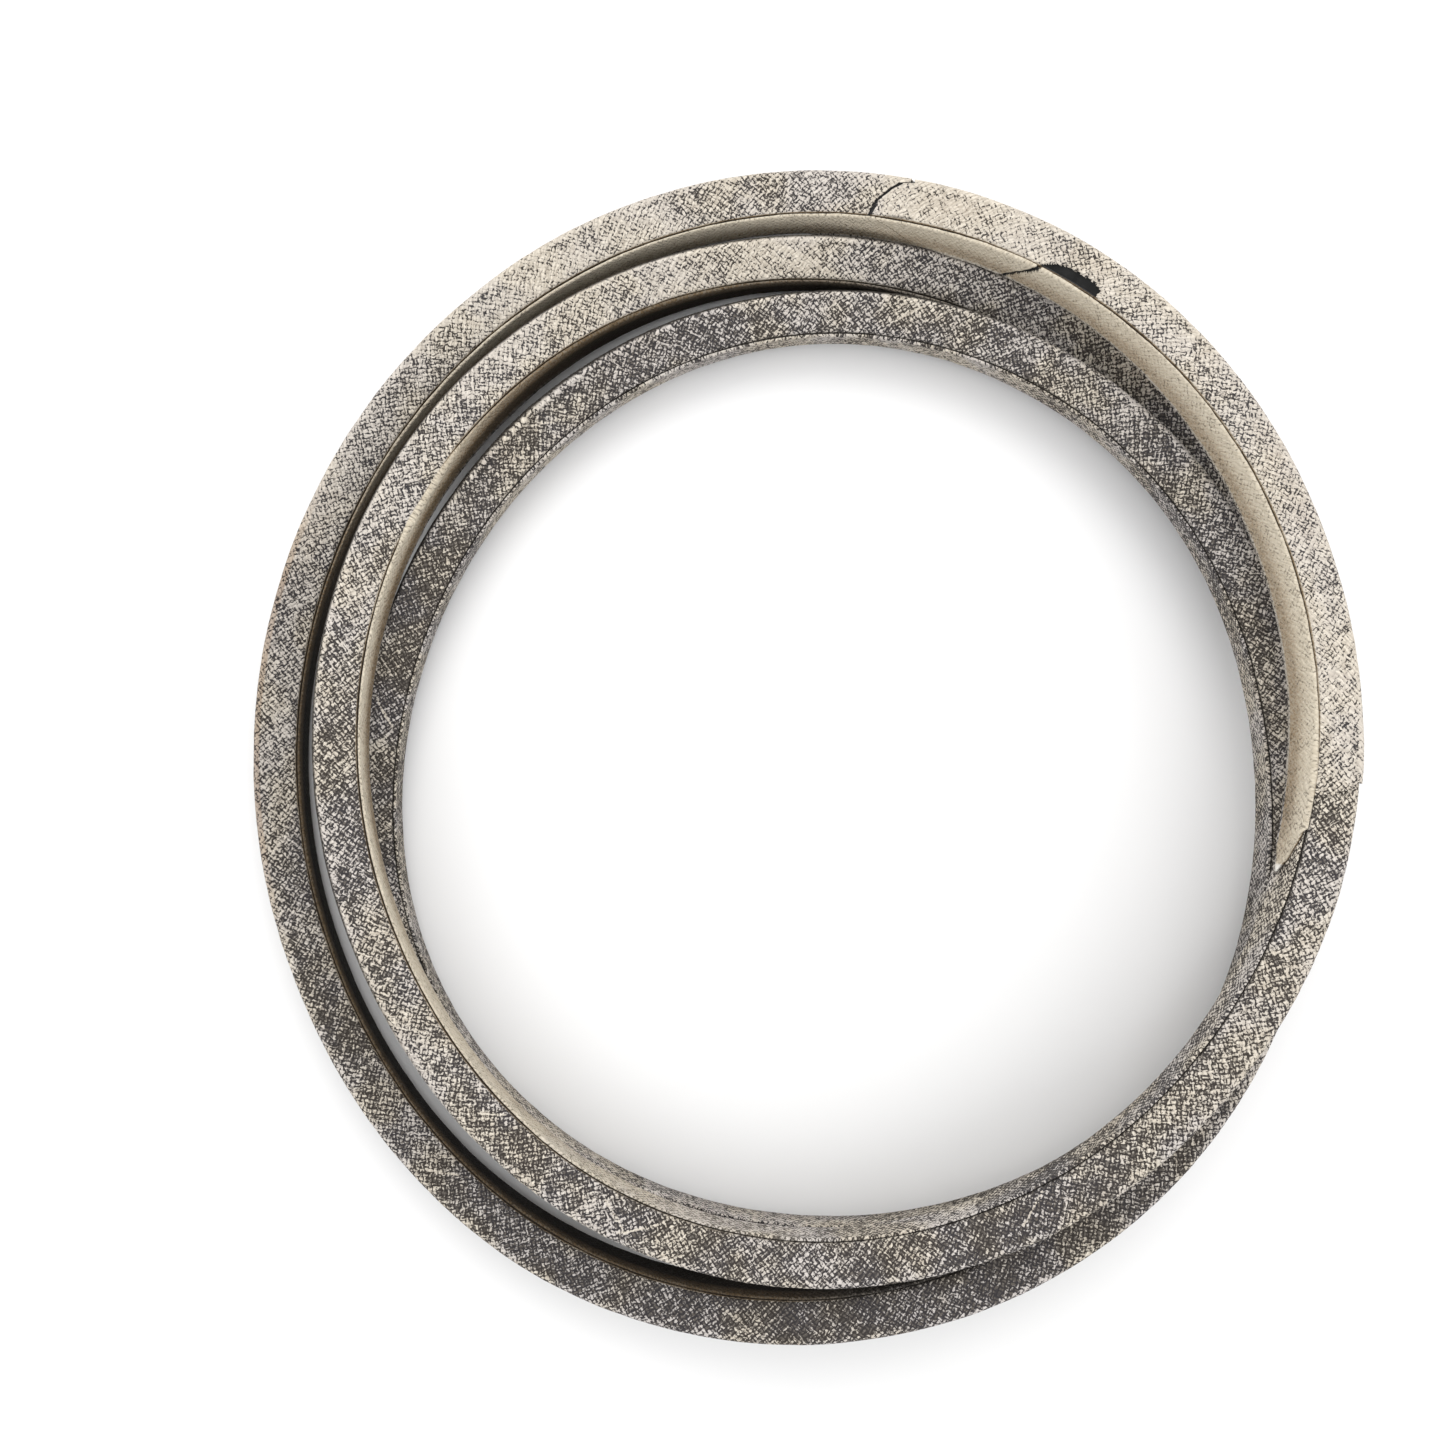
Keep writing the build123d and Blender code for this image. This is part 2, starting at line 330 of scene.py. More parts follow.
def stroke(angle, x, mark):
    """How much a point of the upper flank belongs to a short straight mark, 0 to 1."""
    size = 1.65              # millimetres of belt to a degree of coil angle, about
    a = np.array([mark[0] * size, mark[1]])
    b = np.array([mark[2] * size, mark[3]])
    px, py = angle * size - a[0], x - a[1]
    line = b - a
    t = np.clip((px * line[0] + py * line[1]) / (line @ line), 0, 1)
    away = np.hypot(px - t * line[0], py - t * line[1])
    return np.clip(1 - away / mark[4], 0, 1) * (0.4 + 0.6 * np.sin(math.pi * np.clip(t, 0.08, 0.92)))


# ---------------------------------------------------------------- cover surface
class Patch:
    """A grid of coil angles by outline points, with what each point is and where it lies on the belt."""

    def __init__(self, angle, doubled):
        self.angle = angle
        self.turned = np.mod(angle, COIL)
        self.s = along_length(angle)
        self.v = np.broadcast_to(GIRTH[:-1], angle.shape)
        self.x = np.broadcast_to(RX, angle.shape).copy()
        self.y = np.broadcast_to(RY, angle.shape).copy()
        self.upper = np.broadcast_to(UPPER, angle.shape)
        self.strip = np.broadcast_to(STRIP, angle.shape)
        self.groove = np.broadcast_to(GROOVE, angle.shape)
        self.edge = np.broadcast_to(LABEL == "edge", angle.shape)
        self.rim = np.broadcast_to(LABEL == "rim", angle.shape)
        self.over = (self.turned < 106) & (self.turned > 60)
        self.doubled = doubled

    def noise(self, long_scale, girth_scale, seed):
        return noise(self.s / long_scale, self.v / girth_scale, seed)

    def line_noise(self, long_scale, seed):
        """Noise that changes only along the belt."""
        return noise(self.s / long_scale, self.s * 0, seed)


def cloth_relief(p):
    """Height of the cover over the plain outline; also moves the lengthwise edge about."""
    # cloth that isn't quite even
    out = 0.035 * p.noise(2.6, 2.2, 11) + 0.02 * p.noise(0.9, 0.9, 12)
    out = out + 0.06 * p.noise(23.0, 9.0, 13)
    out = np.where(p.groove, 0.0, out)

    # the lengthwise edge wanders, lifts, swells in one stretch and is a little frayed
    wander = 0.16 * p.line_noise(17.0, 21) + 0.07 * p.line_noise(3.1, 22)
    fray = 0.05 * p.noise(0.7, 0.2, 23)
    p.y = p.y + np.where(p.edge, wander + fray, 0.0)
    lift = 0.10 + 0.10 * p.line_noise(31.0, 24)
    near_edge = ease(p.y, 0.5, 3.1) * p.strip
    out = out + lift * near_edge
    swell = ease(p.turned, 296.0, 301.0) * (1 - ease(p.turned, 306.0, 312.0))
    out = out + swell * np.where(EDGE_SIDES, 0.5, 0.62 * near_edge)
    out = out + np.where(p.rim, 0.05 * p.noise(2.0, 1.5, 25) - 0.03, 0.0)

    # where a turn lies against the next the cover bulges a little
    press = 0.0
    for middle, half, faces, height in PRESSED:
        press = press + bump_at(p.turned, middle, half) * np.isin(LABEL, faces) * height
    out = out + press

    # the second lap's end lies over the next length, and its torn tip turns up
    proud = np.where(UPPER, PROUD_FLANK, PROUD_ELSEWHERE)
    out = out + np.where(p.over, proud * ease(p.turned, 82.0, 92.0), 0.0)
    return out + 0.3 * torn_tip(p)


def torn_tip(p):
    """The tip of the torn strip, whiter than the rest."""
    return p.strip * p.over * (p.doubled > 0.5) * ease(p.turned, 101.8, 103.4)


def strokes(p):
    """Scratches and pale threads on the upper flank: their height, darkness and cleanness."""
    out = np.zeros(p.angle.shape)
    dark = np.zeros(p.angle.shape)
    clean = np.zeros(p.angle.shape)
    for mark in MARKS:
        hit = stroke(p.turned, p.x, mark) * p.upper
        out = out - mark[5] * hit
        dark = np.maximum(dark, hit * mark[6])
    for mark in THREADS:
        hit = ease(stroke(p.turned, p.x, mark) * p.upper, 0.06, 0.45)
        out = out + mark[5] * hit
        clean = np.maximum(clean, hit)
    return out, dark, clean


def torn_places(p):
    """The torn slot beside the edge, and the crack that runs from it over the narrow face."""
    rag = 0.12 * p.noise(0.7, 0.9, 31)
    head = -3.1 + 1.55 * ease(p.turned, 25.2, 27.8) - 0.25 * ease(p.turned, 30.2, 31.6)
    tooth = 0.5 * bump_at(p.x, -2.3, 0.5)
    slot = ease(head + rag * 2 - p.x, -0.10, 0.12) * ease(p.turned, 25.05, 25.35)
    slot = slot * (1 - ease(p.turned + rag * 2 - tooth * 0.4, 31.6, 31.85)) * p.upper
    crack_line = np.where(p.y > 1.0, 24.2 + (p.y - 1.0) * 0.42, 24.2 - (1.0 - p.y) * 0.62)
    crack = 1 - ease(np.abs(p.turned + rag * 0.5 - crack_line), 0.14, 0.34 + 0.05 * ease(p.y, 0, 3))
    return slot, crack * p.strip


def painted(p, dark, clean):
    """Share of dark specks, smooth pale cloth, darkening and brown stain; the darkening is scratches, dark
    joint lines and painted shade.
    """
    speck = by_angle(SPECK, p.angle) + 0.10 * p.noise(9.0, 6.0, 41) + 0.07 * p.noise(27.0, 20.0, 42)
    speck = speck - 0.75 * clean

    smooth = by_angle(SMOOTH, p.angle) * ease(p.y, -3.3, -2.6) * (np.abs(p.x - X_BASE) < 0.5)
    smooth = np.where(p.edge, by_angle(SMOOTH, p.angle), smooth) * p.doubled
    worn = np.broadcast_to(LABEL == "shoulder", p.angle.shape) * 0.55
    worn = np.maximum(worn, p.upper * ease(p.x, 2.4, 3.4) * 0.5)
    pale = np.maximum(1.8 * torn_tip(p), np.maximum(smooth, worn))

    # painted shade on the lower part of the narrow face, where it looks into the gap between turns
    narrow_shade = by_angle(NARROW_SHADE, p.angle)
    low_part = ease(-p.y, -3.0, 2.2) * (0.35 + 0.65 * ease(-p.y, -2.0, 3.0)) * 1.25
    low_part = low_part + ease(narrow_shade, 0.7, 1.0) * 0.75
    dark = np.maximum(dark, narrow_shade * np.clip(low_part, 0, 1) * p.strip)
    # painted shade on the back and lower shoulder where a turn lies against the next; the slit beside the
    # edge is dark
    dark = np.maximum(np.maximum(dark, HIDDEN_SIDE * by_angle(SHADED, p.angle)), p.groove * 0.95)
    line = p.rim * ease(3.45 - p.y, -0.12, 0.12)
    dark = np.maximum(dark, line * (0.65 + 0.3 * p.line_noise(5.0, 43)))

    brown = ease(p.turned, 968, 985) * (1 - ease(p.turned, 1008, 1022)) * worn * 1.6
    brown = brown + 0.15 * ease(p.noise(15.0, 5.0, 44), 0.4, 0.9)
    brightest = (1, 2, 1, 1)
    return np.stack([np.clip(c, 0, top) for c, top in zip((speck, pale, dark, brown), brightest)], -1)


def surface(angle, sink=0.0, doubled=1.0):
    """Cover surface on a grid of coil angles by outline points.

    Returns places in millimetres, belt coordinates, paint and a mask of bare rubber. The strip of doubled
    cloth on the narrow face fades out with doubled.
    """
    p = Patch(angle, doubled)
    out = cloth_relief(p)
    raised, dark, clean = strokes(p)
    slot, crack = torn_places(p)
    out = out + raised - TEAR_DEPTH * slot - CRACK_DEPTH * crack - sink
    paint = painted(p, dark, clean)

    spot, _, ax, ay = belt_axes(angle)
    x = p.x + NORMAL[:, 0] * out
    y = p.y + NORMAL[:, 1] * out
    place = spot + ax * x[..., None] + ay * y[..., None]
    belt = np.stack([p.s, p.v], -1)
    return place, belt, paint, np.maximum(slot, crack)


def angle_steps(first, last):
    """Even steps along the belt, much finer where the cover is cut or torn."""
    marks = [first]
    fine = [(first - 0.001, first + 2.0), (last - 2.0, last + 0.001), (20.5, 32.6), (139.5, 144.5),
            (769.5, 776.0), (788.5, 797.5), (92.0, 105.5)]
    while marks[-1] < last - 0.02:
        here = marks[-1]
        step = 0.36
        for low, high in fine:
            for turn in (0.0, COIL):
                if low + turn - 0.4 <= here < high + turn:
                    step = 0.10
        marks.append(min(here + step, last))
    return np.array(marks)


def spread(first, last, begin=None, finish=None):
    """Grid of coil angles whose first and last columns follow slanted cover joints."""
    steps = angle_steps(first, last)
    grid = np.repeat(steps[:, None], len(RING), 1)
    if begin is not None:
        grid = grid + (begin - first) * np.exp(-(grid - first) / 12.0)
    if finish is not None:
        grid = grid + (finish - last) * np.exp(-(last - grid) / 16.0)
    return grid


def cut_end(grid, at_start, depth=SINK):
    """Places for the end wall of a ply: the last column moved into the belt by its thickness."""
    column = grid[:1] if at_start else grid[-1:]
    place, belt, paint, bare = surface(column, depth)
    paint = paint.copy()
    paint[..., 2] = 1.0
    return place, belt + np.array([-0.4 if at_start else 0.4, 0.0]), paint, np.ones_like(bare)


def build_mesh(name, parts, materials):
    """One mesh from several closed-ring grids: places, belt coordinates, paint and bare mask of each."""
    verts, faces, uvs, paints, kinds = [], [], [], [], []
    base = 0
    for place, belt, paint, bare in parts:
        n, m = bare.shape
        verts.append(place.reshape(-1, 3) * MM)
        paints.append(paint.reshape(-1, 4))
        i = np.arange(n - 1)[:, None]
        j = np.arange(m)[None, :]
        k = (j + 1) % m
        a, b, c, d = i * m + j, (i + 1) * m + j, (i + 1) * m + k, i * m + k
        quad = np.stack(np.broadcast_arrays(a, b, c, d), -1).reshape(-1, 4)
        faces.append(quad + base)
        girth = np.broadcast_to(GIRTH, (n, m + 1))
        length = np.concatenate([belt[..., 0], belt[:, :1, 0]], 1)
        corner = np.stack([length, girth], -1)
        ua = np.broadcast_to(corner[:-1, :-1], (n - 1, m, 2))
        ub, uc, ud = corner[1:, :-1], corner[1:, 1:], corner[:-1, 1:]
        uvs.append(np.stack([ua, ub, uc, ud], 2).reshape(-1, 2))
        flat = bare.reshape(-1)
        kinds.append((flat[quad].mean(1) > 0.5).astype(np.int32))
        base += n * m
    verts, faces = np.concatenate(verts), np.concatenate(faces)
    uvs, paints, kinds = np.concatenate(uvs), np.concatenate(paints), np.concatenate(kinds)
    mesh = bpy.data.meshes.new(name)
    mesh.vertices.add(len(verts))
    mesh.vertices.foreach_set("co", verts.astype(np.float32).ravel())
    mesh.loops.add(len(faces) * 4)
    mesh.loops.foreach_set("vertex_index", faces.astype(np.int32).ravel())
    mesh.polygons.add(len(faces))
    mesh.polygons.foreach_set("loop_start", np.arange(0, len(faces) * 4, 4, dtype=np.int32))
    mesh.polygons.foreach_set("material_index", kinds)
    mesh.polygons.foreach_set("use_smooth", np.ones(len(faces), dtype=bool))
    layer = mesh.uv_layers.new(name="Belt")
    layer.data.foreach_set("uv", uvs.astype(np.float32).ravel())
    colour = mesh.color_attributes.new("Paint", "FLOAT_COLOR", "POINT")
    colour.data.foreach_set("color", paints.astype(np.float32).ravel())
    for material in materials:
        mesh.materials.append(material)
    mesh.update(calc_edges=True)
    mesh.validate()
    piece = bpy.data.objects.new(name, mesh)
    bpy.context.scene.collection.objects.link(piece)
    return piece


# ---------------------------------------------------------------- materials
class Graph:
    """Small helper for node trees: arithmetic on sockets or numbers."""

    def __init__(self, name):
        self.material = bpy.data.materials.new(name)
        self.material.use_nodes = True
        self.tree = self.material.node_tree
        self.tree.nodes.clear()
        self.shader = self.tree.nodes.new("ShaderNodeBsdfPrincipled")
        output = self.tree.nodes.new("ShaderNodeOutputMaterial")
        self.tree.links.new(self.shader.outputs["BSDF"], output.inputs["Surface"])

    def put(self, value, socket):
        if isinstance(value, (int, float)):
            socket.default_value = value
        elif isinstance(value, tuple):
            socket.default_value = value if len(value) == len(socket.default_value) else (*value, 1.0)
        else:
            self.tree.links.new(value, socket)

    def math(self, kind, *values):
        node = self.tree.nodes.new("ShaderNodeMath")
        node.operation = kind
        for value, socket in zip(values, node.inputs):
            self.put(value, socket)
        return node.outputs[0]

    def mul(self, a, b):
        return self.math("MULTIPLY", a, b)

    def add(self, a, b):
        return self.math("ADD", a, b)

    def ramp(self, value, low, high, out_low=0.0, out_high=1.0):
        node = self.tree.nodes.new("ShaderNodeMapRange")
        node.interpolation_type = "SMOOTHSTEP"
        for item, socket in zip((value, low, high, out_low, out_high), node.inputs):
            self.put(item, socket)
        return node.outputs[0]

    def mix(self, share, a, b, kind="MIX"):
        node = self.tree.nodes.new("ShaderNodeMix")
        node.data_type = "RGBA"
        node.blend_type = kind
        self.put(share, node.inputs[0])
        self.put(a, node.inputs[6])
        self.put(b, node.inputs[7])
        return node.outputs[2]

    def vector(self, x, y, z=0.0):
        node = self.tree.nodes.new("ShaderNodeCombineXYZ")
        for value, socket in zip((x, y, z), node.inputs):
            self.put(value, socket)
        return node.outputs[0]

    def noise(self, place, scale, detail=2.0, rough=0.5):
        node = self.tree.nodes.new("ShaderNodeTexNoise")
        self.put(place, node.inputs["Vector"])
        node.inputs["Scale"].default_value = scale
        node.inputs["Detail"].default_value = detail
        node.inputs["Roughness"].default_value = rough
        return node.outputs[0]

    def cells(self, place):
        node = self.tree.nodes.new("ShaderNodeTexWhiteNoise")
        node.noise_dimensions = "2D"
        self.put(place, node.inputs["Vector"])
        return node.outputs[0]

    def bump(self, height, distance, strength, normal=None):
        node = self.tree.nodes.new("ShaderNodeBump")
        node.inputs["Distance"].default_value = distance
        node.inputs["Strength"].default_value = strength
        self.put(height, node.inputs["Height"])
        if normal is not None:
            self.tree.links.new(normal, node.inputs["Normal"])
        return node.outputs[0]

    def object_place(self, scale):
        coord = self.tree.nodes.new("ShaderNodeTexCoord")
        node = self.tree.nodes.new("ShaderNodeVectorMath")
        node.operation = "SCALE"
        self.tree.links.new(coord.outputs["Object"], node.inputs[0])
        node.inputs["Scale"].default_value = scale
        return node.outputs[0]


def cover_fabric():
    g = Graph("cover_fabric")
    uv = g.tree.nodes.new("ShaderNodeUVMap")
    uv.uv_map = "Belt"
    split = g.tree.nodes.new("ShaderNodeSeparateXYZ")
    g.tree.links.new(uv.outputs[0], split.inputs[0])
    u, v = split.outputs[0], split.outputs[1]
    paint = g.tree.nodes.new("ShaderNodeAttribute")
    paint.attribute_name = "Paint"
    channel = g.tree.nodes.new("ShaderNodeSeparateColor")
    g.tree.links.new(paint.outputs["Color"], channel.inputs[0])
    speck, pale, marks_and_shade = channel.outputs[0], channel.outputs[1], channel.outputs[2]
    brown = paint.outputs["Alpha"]

    # bias directions of the cloth, pulled about a little
    pull = g.mul(g.add(g.noise(g.vector(u, v), 0.55, 3.0), -0.5), 1.1)
    pull_b = g.mul(g.add(g.noise(g.vector(v, u), 0.55, 3.0), -0.5), 1.1)
    p = g.add(g.mul(g.add(u, v), 0.7071), pull)
    q = g.add(g.mul(g.math("SUBTRACT", u, v), 0.7071), pull_b)
    wp, wq = g.mul(p, 1 / THREAD), g.mul(q, 1 / THREAD)
    sp = g.math("SINE", g.mul(wp, math.pi))
    sq = g.math("SINE", g.mul(wq, math.pi))
    over = g.ramp(g.mul(sp, sq), -0.22, 0.22)
    under = g.math("SUBTRACT", 1.0, over)
    warp = g.mul(g.math("ABSOLUTE", sp), g.add(g.mul(over, 0.62), 0.38))
    weft = g.mul(g.math("ABSOLUTE", sq), g.add(g.mul(under, 0.62), 0.38))
    height = g.math("MAXIMUM", warp, weft)

    # rubber fills the meshes of the cloth and, by chance, covers whole thread crossings
    cell = g.cells(g.vector(g.math("FLOOR", wp), g.math("FLOOR", wq)))
    long_p = g.noise(g.vector(g.mul(p, 0.8), g.mul(q, 3.2)), 1.0, 1.0)
    long_q = g.noise(g.vector(g.mul(p, 3.2), g.mul(q, 0.8), 7.0), 1.0, 1.0)
    streak = g.math("MAXIMUM", long_p, long_q)
    clump = g.noise(g.vector(u, v, 5.0), 0.55, 2.0, 0.6)
    broad = g.noise(g.vector(u, v, 3.0), 0.13, 2.0, 0.5)
    grain = g.noise(g.vector(u, v, 9.0), 2.7, 2.0, 0.7)
    chance = g.add(g.mul(cell, 0.34), g.mul(grain, 1.45))
    chance = g.add(chance, g.mul(streak, -1.45))
    chance = g.add(chance, g.mul(height, -0.50))
    chance = g.add(chance, g.mul(clump, 0.30))
    chance = g.add(chance, g.mul(broad, 0.34))
    level = g.add(g.add(g.mul(speck, 0.74), 0.55), g.mul(pale, -0.26))
    # long clean threads that cross the rest
    hair_p = g.ramp(g.noise(g.vector(g.mul(p, 0.16), g.mul(q, 2.6), 21.0), 1.0, 1.0), 0.66, 0.72)
    hair_q = g.ramp(g.noise(g.vector(g.mul(p, 2.6), g.mul(q, 0.16), 27.0), 1.0, 1.0), 0.66, 0.72)
    hair = g.math("MAXIMUM", hair_p, hair_q)
    filled = g.ramp(g.add(g.add(chance, level), g.mul(hair, -0.30)), 0.82, 1.10)

    thread_tone = g.noise(g.vector(g.mul(p, 0.6), g.mul(q, 3.0), 4.0), 1.0, 2.0)
    cream = g.mix(g.ramp(thread_tone, 0.3, 0.7), (0.40, 0.352, 0.29), (0.64, 0.585, 0.50))
    cool = g.ramp(g.noise(g.vector(u, v, 14.0), 0.09, 2.0), 0.40, 0.60)
    cream = g.mix(g.mul(cool, g.mul(speck, 0.85)), cream, (0.50, 0.475, 0.48))
    coated = g.ramp(g.add(g.mul(height, 0.5), thread_tone), 0.75, 1.1)
    rubber_tone = g.mix(cool, (0.036, 0.030, 0.025), (0.034, 0.031, 0.033))
    rubber_tone = g.mix(coated, rubber_tone, (0.105, 0.092, 0.080))
    colour = g.mix(filled, cream, rubber_tone)
    tan = g.mix(g.ramp(thread_tone, 0.25, 0.75), (0.46, 0.402, 0.31), (0.60, 0.54, 0.435))
    smooth = g.ramp(pale, 0.6, 0.95)
    soft_speck = g.ramp(g.add(chance, g.mul(speck, 0.25)), 0.31, 0.74)
    tan = g.mix(g.mul(soft_speck, 0.7), tan, (0.13, 0.11, 0.085))
    colour = g.mix(g.mul(smooth, 0.92), colour, tan)
    # painted shade and the dark slit on the doubled cloth are made warm and blotchy
    blotches = g.mul(g.mul(marks_and_shade, smooth), g.ramp(grain, 0.38, 0.62, 0.7, 1.9))
    colour = g.mix(blotches, colour, (0.62, 0.46, 0.29), "MULTIPLY")
    colour = g.mix(g.ramp(pale, 1.2, 1.7), colour, (0.78, 0.76, 0.71))
    colour = g.mix(g.mul(brown, 0.55), colour, (0.42, 0.27, 0.15), "MULTIPLY")
    # scratches, dark joint lines and painted shade turn the cloth near black
    colour = g.mix(marks_and_shade, colour, (0.018, 0.015, 0.012))
    g.put(colour, g.shader.inputs["Base Color"])

    g.shader.inputs["Specular IOR Level"].default_value = 0.2
    g.put(g.ramp(filled, 0.0, 1.0, 0.92, 0.72), g.shader.inputs["Roughness"])
    fibre = g.noise(g.vector(g.mul(p, 7.0), g.mul(q, 7.0)), 1.0, 3.0, 0.7)
    cloth = g.add(g.mul(height, 0.8), g.mul(fibre, 0.35))
    cloth = g.add(cloth, g.mul(filled, -0.28))
    g.tree.links.new(g.bump(cloth, 0.00028, 0.8), g.shader.inputs["Normal"])
    return g.material


def rubber(name, tone, scale, rough):
    g = Graph(name)
    place = g.object_place(1000.0)
    mottle = g.noise(place, 0.35 * scale, 4.0, 0.6)
    grain = g.noise(place, 2.6 * scale, 4.0, 0.7)
    low = tuple(c * 0.55 for c in tone)
    high = tuple(c * 1.6 for c in tone)
    g.put(g.mix(g.ramp(g.add(g.mul(mottle, 0.6), g.mul(grain, 0.4)), 0.3, 0.7), low, high),
          g.shader.inputs["Base Color"])
    g.put(g.ramp(grain, 0.3, 0.7, rough - 0.12, rough + 0.08), g.shader.inputs["Roughness"])
    g.shader.inputs["Specular IOR Level"].default_value = 0.15
    g.tree.links.new(g.bump(grain, 0.0002, 0.5), g.shader.inputs["Normal"])
    return g.material


def lining_fabric():
    g = Graph("lining_fabric")
    coord = g.tree.nodes.new("ShaderNodeTexCoord")
    split = g.tree.nodes.new("ShaderNodeSeparateXYZ")
    g.tree.links.new(coord.outputs["Object"], split.inputs[0])
    x, y, z = split.outputs
    radius = g.math("SQRT", g.add(g.mul(x, x), g.mul(y, y)))
    turn = g.mul(g.math("ARCTAN2", x, y), 95.0)
    rise = g.mul(g.add(z, radius), 700.0)
    p, q = g.add(turn, rise), g.math("SUBTRACT", turn, rise)
    sp = g.math("ABSOLUTE", g.math("SINE", g.mul(p, 4.2)))
    sq = g.math("ABSOLUTE", g.math("SINE", g.mul(q, 4.2)))
    height = g.math("MAXIMUM", sp, sq)
    grain = g.noise(g.object_place(1000.0), 1.2, 4.0, 0.7)
    show = g.ramp(g.add(g.mul(height, 0.5), g.mul(grain, 0.9)), 0.9, 1.15)
    g.put(g.mix(show, (0.010, 0.010, 0.011), (0.045, 0.040, 0.036)), g.shader.inputs["Base Color"])
    g.shader.inputs["Roughness"].default_value = 0.72
    g.tree.links.new(g.bump(g.add(height, grain), 0.0002, 0.6), g.shader.inputs["Normal"])
    return g.material


def cord_fibre():
    g = Graph("cord_fibre")
    coord = g.tree.nodes.new("ShaderNodeTexCoord")
    split = g.tree.nodes.new("ShaderNodeSeparateXYZ")
    g.tree.links.new(coord.outputs["Object"], split.inputs[0])
    x, y, z = split.outputs
    turn = g.mul(g.math("ARCTAN2", x, y), 95.0)
    lay = g.math("SINE", g.add(g.mul(turn, 3.2), g.mul(z, 3000.0)))
    fibre = g.noise(g.object_place(1000.0), 3.0, 4.0, 0.7)
    tone = g.ramp(g.add(g.mul(lay, 0.3), fibre), 0.2, 0.9)
    g.put(g.mix(tone, (0.32, 0.25, 0.15), (0.72, 0.63, 0.46)), g.shader.inputs["Base Color"])
    g.shader.inputs["Roughness"].default_value = 0.7
    g.tree.links.new(g.bump(g.add(lay, fibre), 0.0002, 0.6), g.shader.inputs["Normal"])
    return g.material


def table_top():
    g = Graph("table_top")
    place = g.object_place(1.0)
    blotches = g.noise(place, 3.0, 3.0, 0.5)
    tone = g.mix(g.ramp(blotches, 0.3, 0.8), (0.775, 0.775, 0.78), (0.755, 0.755, 0.755))
    g.put(tone, g.shader.inputs["Base Color"])
    g.shader.inputs["Roughness"].default_value = 0.75
    g.shader.inputs["Specular IOR Level"].default_value = 0.15
    return g.material


cover = cover_fabric()
bare_rubber = rubber("bare_rubber", (0.009, 0.009, 0.009), 1.5, 0.75)

# ---------------------------------------------------------------- the wrap, in lengths
# name, first and last coil angle, CAD nodes it stands for
LENGTHS = [
    ("wrap_1", 8.0, 160.0, ["cover_first"]),
    ("wrap_2", 160.0, 330.0, ["cover_second"]),
    ("wrap_3", 330.0, 490.0, ["cover_second"]),
    ("wrap_4", 490.0, 660.0, ["cover_third"]),
    ("wrap_5", 660.0, 820.0, ["cover_fourth"]),
    ("wrap_6", 820.0, 940.0, ["cover_fifth"]),
    ("wrap_7", 940.0, 1088.0, ["cover_fifth"]),
]
LAP_GAP = 0.42               # degrees left open at the first lap, away from the narrow face
STRIP_GAP = 0.06             # and on the narrow face
UNDER = 0.16                 # how deep a length lies under the second lap
TAIL_DEPTH = 0.40
open_gap = np.where(STRIP, STRIP_GAP, LAP_GAP + girth_noise(0.1, 1.7, 61))

for name, first, last, nodes in LENGTHS:
    parts = []
    if name == "wrap_1":
        lead = spread(8.0, 97.0, FIRST_LAP + open_gap / 2, SECOND_LAP)
        parts.append(surface(lead))
        wall = cut_end(lead, True)
        parts.append(tuple(np.concatenate([w, g[:1]]) for w, g in zip(wall, parts[0])))
        tail = cut_end(lead, False, TAIL_DEPTH)
        parts.append(tuple(np.concatenate([g[-1:], w]) for w, g in zip(tail, parts[0])))
        under = spread(88.0, last)
        hidden = UNDER * (1 - ease(under, 92.0, 106.0))
        hidden = hidden + np.where(UPPER, PROUD_FLANK, PROUD_ELSEWHERE) * (under < 106)
        parts.append(surface(under, hidden, 0.15))
    else:
        finish = None
        if name == "wrap_7":
            finish = FIRST_LAP + COIL - open_gap / 2
        grid = spread(first, last, None, finish)
        parts.append(surface(grid))
        if name == "wrap_7":
            wall = cut_end(grid, False)
            parts.append(tuple(np.concatenate([g[-1:], w]) for w, g in zip(wall, parts[0])))
    piece = build_mesh(name, parts, [cover, bare_rubber])
    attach(piece, "root")
    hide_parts(*nodes)

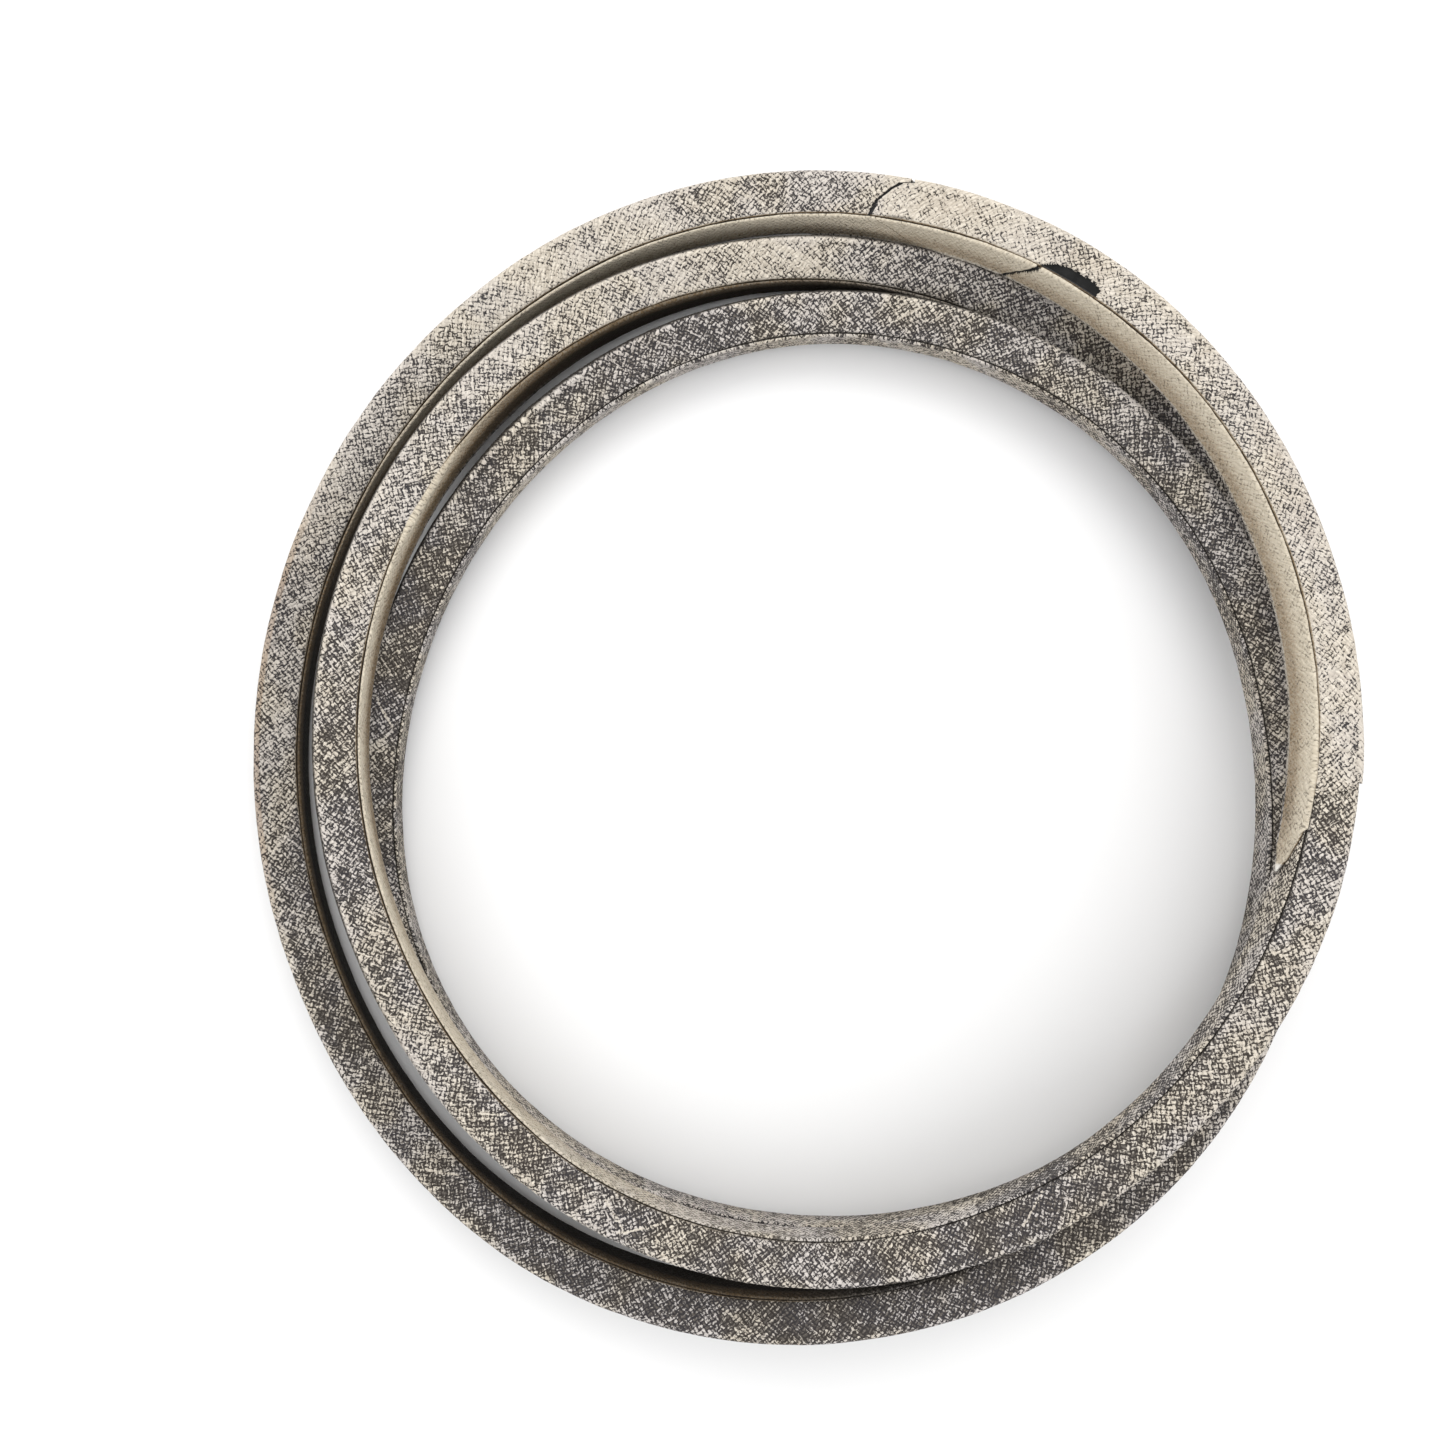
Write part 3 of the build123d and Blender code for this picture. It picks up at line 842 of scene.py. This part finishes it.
# ---------------------------------------------------------------- inner layers keep their CAD shape
inside = {
    "cushion_rubber": rubber("cushion_compound", (0.020, 0.019, 0.019), 1.0, 0.66),
    "base_rubber": rubber("base_compound", (0.014, 0.014, 0.015), 1.0, 0.7),
    "upper_gum": rubber("gum_compound", (0.050, 0.036, 0.026), 1.2, 0.58),
    "tension_cord": cord_fibre(),
}
inside["lower_gum"] = inside["upper_gum"]
lining = lining_fabric()
for name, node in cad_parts.items():
    material = inside.get(name, lining if name.startswith("lining") else None)
    if material is None:
        continue
    for place in node.material_slots:
        place.material = material

# ---------------------------------------------------------------- table, light and camera
ground = bpy.data.meshes.new("table")
half = 3.0
corners = [(-half, -half, 0), (half, -half, 0), (half, half, 0), (-half, half, 0)]
ground.from_pydata(corners, [], [(0, 1, 2, 3)])
ground.materials.append(table_top())
table = bpy.data.objects.new("table", ground)
bpy.context.scene.collection.objects.link(table)


def area_light(name, place, aim, size, power, tint):
    data = bpy.data.lights.new(name, "AREA")
    data.shape = "DISK"
    data.size = size
    data.energy = power
    data.color = tint
    lamp = bpy.data.objects.new(name, data)
    lamp.location = place
    lamp.rotation_mode = "QUATERNION"
    lamp.rotation_quaternion = (Vector(aim) - Vector(place)).to_track_quat("-Z", "Y")
    bpy.context.scene.collection.objects.link(lamp)
    return lamp


area_light("key", (0.05, 0.85, 0.80), (0, 0, 0), 0.9, 5.5, (1.0, 0.985, 0.96))

world = bpy.data.worlds.new("studio")
bpy.context.scene.world = world
world.use_nodes = True
sky = world.node_tree.nodes.get("Background")
sky.inputs["Color"].default_value = (1.0, 1.0, 1.0, 1.0)
sky.inputs["Strength"].default_value = 1.42

lens = bpy.data.cameras.new("camera")
lens.sensor_width = 36.0
lens.lens = 33.63
eye = bpy.data.objects.new("camera", lens)
eye.location = (-0.01446, 0.00563, 0.2696)
eye.rotation_euler = (0.0, 0.0, 0.0)
bpy.context.scene.collection.objects.link(eye)
bpy.context.scene.camera = eye
bpy.context.scene.view_settings.view_transform = "Standard"
